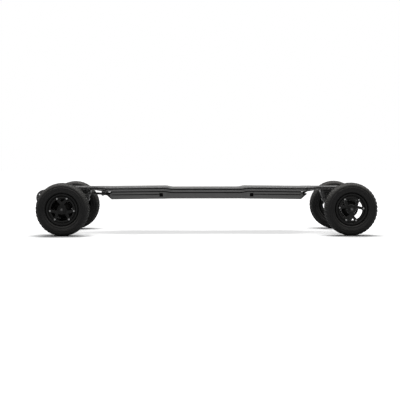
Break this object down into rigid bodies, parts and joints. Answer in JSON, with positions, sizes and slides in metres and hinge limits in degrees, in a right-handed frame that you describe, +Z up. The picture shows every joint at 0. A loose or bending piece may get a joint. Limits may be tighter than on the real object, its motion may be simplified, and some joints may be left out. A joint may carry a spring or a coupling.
{
  "type": "electric mountainboard",
  "caption": "All-terrain electric skateboard: carbon deck over a flat battery enclosure, double-kingpin trucks, air tyres on spoked rims, rear belt drive with two motors.",
  "frame": {"origin": "on the ground, under the middle of the board's bounding box", "axes": "+X towards the front truck, +Y to the rider's left when facing the front, +Z up"},
  "size_m": [1.1334, 0.42, 0.175],
  "materials": {
    "carbon_laminate": "satin clear-coated carbon weave",
    "grip_surface": "coarse black grit",
    "enclosure_plastic": "fine moulded grain",
    "cell_wrap": "heat-shrink film",
    "controller_case": "black anodised",
    "bright_steel": "zinc-plated",
    "black_plastic": "moulded",
    "soft_rubber": "matte",
    "forged_alloy": "black anodised, fine blast",
    "bushing_urethane": "satin",
    "tyre_rubber": "matte",
    "rim_plastic": "glass-filled, satin",
    "motor_case": "black anodised",
    "belt_rubber": "matte",
    "lead_sleeve": "braided sleeve"
  },
  "bodies": {
    "deck": {"deck_board": "carbon_laminate", "grip_sheet": "grip_surface", "battery_enclosure": "enclosure_plastic", "battery_pack": "cell_wrap", "speed_controller": "controller_case", "charge_socket": "black_plastic", "left_lead_clip": "black_plastic", "right_lead_clip": "black_plastic", "left_inner_lead": "lead_sleeve", "right_inner_lead": "lead_sleeve", "front_baseplate": "forged_alloy", "front_inner_kingpin": "bright_steel", "front_inner_bushing_board": "bushing_urethane", "front_inner_bushing_road": "bushing_urethane", "rear_baseplate": "forged_alloy", "rear_inner_kingpin": "bright_steel", "rear_inner_bushing_board": "bushing_urethane", "rear_inner_bushing_road": "bushing_urethane"},
    "button": {"power_button": "bright_steel"},
    "port_cap": {"charge_port_cap": "soft_rubber"},
    "front_arm": {"front_carrier": "forged_alloy", "front_outer_kingpin": "bright_steel", "front_outer_bushing_board": "bushing_urethane", "front_outer_bushing_road": "bushing_urethane"},
    "front_truck": {"front_hanger": "forged_alloy", "front_axle": "bright_steel", "front_left_axle_nut": "bright_steel", "front_right_axle_nut": "bright_steel"},
    "rear_arm": {"rear_carrier": "forged_alloy", "rear_outer_kingpin": "bright_steel", "rear_outer_bushing_board": "bushing_urethane", "rear_outer_bushing_road": "bushing_urethane", "left_outer_lead": "lead_sleeve", "right_outer_lead": "lead_sleeve"},
    "rear_truck": {"rear_hanger": "forged_alloy", "rear_axle": "bright_steel", "rear_left_axle_nut": "bright_steel", "rear_right_axle_nut": "bright_steel", "left_motor": "motor_case", "left_motor_mount": "forged_alloy", "left_drive_belt": "belt_rubber", "right_motor": "motor_case", "right_motor_mount": "forged_alloy", "right_drive_belt": "belt_rubber"},
    "front_left_wheel": {"front_left_tyre": "tyre_rubber", "front_left_rim": "rim_plastic", "front_left_bearings": "bright_steel"},
    "front_right_wheel": {"front_right_tyre": "tyre_rubber", "front_right_rim": "rim_plastic", "front_right_bearings": "bright_steel"},
    "rear_left_wheel": {"rear_left_tyre": "tyre_rubber", "rear_left_rim": "rim_plastic", "rear_left_bearings": "bright_steel", "left_wheel_pulley": "black_plastic"},
    "rear_right_wheel": {"rear_right_tyre": "tyre_rubber", "rear_right_rim": "rim_plastic", "rear_right_bearings": "bright_steel", "right_wheel_pulley": "black_plastic"},
    "left_pinion": {"left_motor_pinion": "bright_steel"},
    "right_pinion": {"right_motor_pinion": "bright_steel"}
  },
  "joints": [
    {"name": "front_inner_lean", "type": "hinge", "parent": "deck", "child": "front_arm", "pos_m": [0.42132, 0, 0.11694], "axis": [0.9511, 0, 0.309], "range_deg": [-8, 8], "stiffness_Nm_per_rad": 90, "deforming": ["front_inner_bushing_board", "front_inner_bushing_road"]},
    {"name": "front_outer_lean", "type": "hinge", "parent": "front_arm", "child": "front_truck", "pos_m": [0.45222, 0, 0.10111], "axis": [0.9511, 0, 0.309], "range_deg": [-8, 8], "stiffness_Nm_per_rad": 90, "deforming": ["front_outer_bushing_board", "front_outer_bushing_road"]},
    {"name": "rear_inner_lean", "type": "hinge", "parent": "deck", "child": "rear_arm", "pos_m": [-0.41282, 0, 0.11694], "axis": [-0.9511, 0, 0.309], "range_deg": [-8, 8], "stiffness_Nm_per_rad": 90, "deforming": ["rear_inner_bushing_board", "rear_inner_bushing_road", "left_inner_lead", "right_inner_lead"]},
    {"name": "rear_outer_lean", "type": "hinge", "parent": "rear_arm", "child": "rear_truck", "pos_m": [-0.44372, 0, 0.10111], "axis": [-0.9511, 0, 0.309], "range_deg": [-8, 8], "stiffness_Nm_per_rad": 90, "deforming": ["rear_outer_bushing_board", "rear_outer_bushing_road", "left_outer_lead", "right_outer_lead"]},
    {"name": "front_left_spin", "type": "hinge", "parent": "front_truck", "child": "front_left_wheel", "pos_m": [0.47925, 0.183, 0.0875], "axis": [0, 1, 0], "continuous": true},
    {"name": "front_right_spin", "type": "hinge", "parent": "front_truck", "child": "front_right_wheel", "pos_m": [0.47925, -0.183, 0.0875], "axis": [0, 1, 0], "continuous": true},
    {"name": "rear_left_spin", "type": "hinge", "parent": "rear_truck", "child": "rear_left_wheel", "pos_m": [-0.47075, 0.183, 0.0875], "axis": [0, 1, 0], "continuous": true},
    {"name": "rear_right_spin", "type": "hinge", "parent": "rear_truck", "child": "rear_right_wheel", "pos_m": [-0.47075, -0.183, 0.0875], "axis": [0, 1, 0], "continuous": true},
    {"name": "left_pinion_spin", "type": "hinge", "parent": "rear_truck", "child": "left_pinion", "pos_m": [-0.53875, 0.1445, 0.1235], "axis": [0, 1, 0], "continuous": true},
    {"name": "right_pinion_spin", "type": "hinge", "parent": "rear_truck", "child": "right_pinion", "pos_m": [-0.53875, -0.1445, 0.1235], "axis": [0, 1, 0], "continuous": true},
    {"name": "power_button_press", "type": "slide", "parent": "deck", "child": "button", "axis": [0, -1, 0], "range_m": [0, 0.0012], "stiffness_N_per_m": 600},
    {"name": "port_cap_lift", "type": "hinge", "parent": "deck", "child": "port_cap", "pos_m": [-0.05775, 0.1037, 0.1393], "axis": [1, 0, 0], "range_deg": [0, 80]}
  ],
  "couplings": [
    {"joint": "front_outer_lean", "follows": "front_inner_lean", "ratio": 1},
    {"joint": "rear_outer_lean", "follows": "rear_inner_lean", "ratio": 1},
    {"joint": "left_pinion_spin", "follows": "rear_left_spin", "ratio": 4},
    {"joint": "right_pinion_spin", "follows": "rear_right_spin", "ratio": 4}
  ]
}
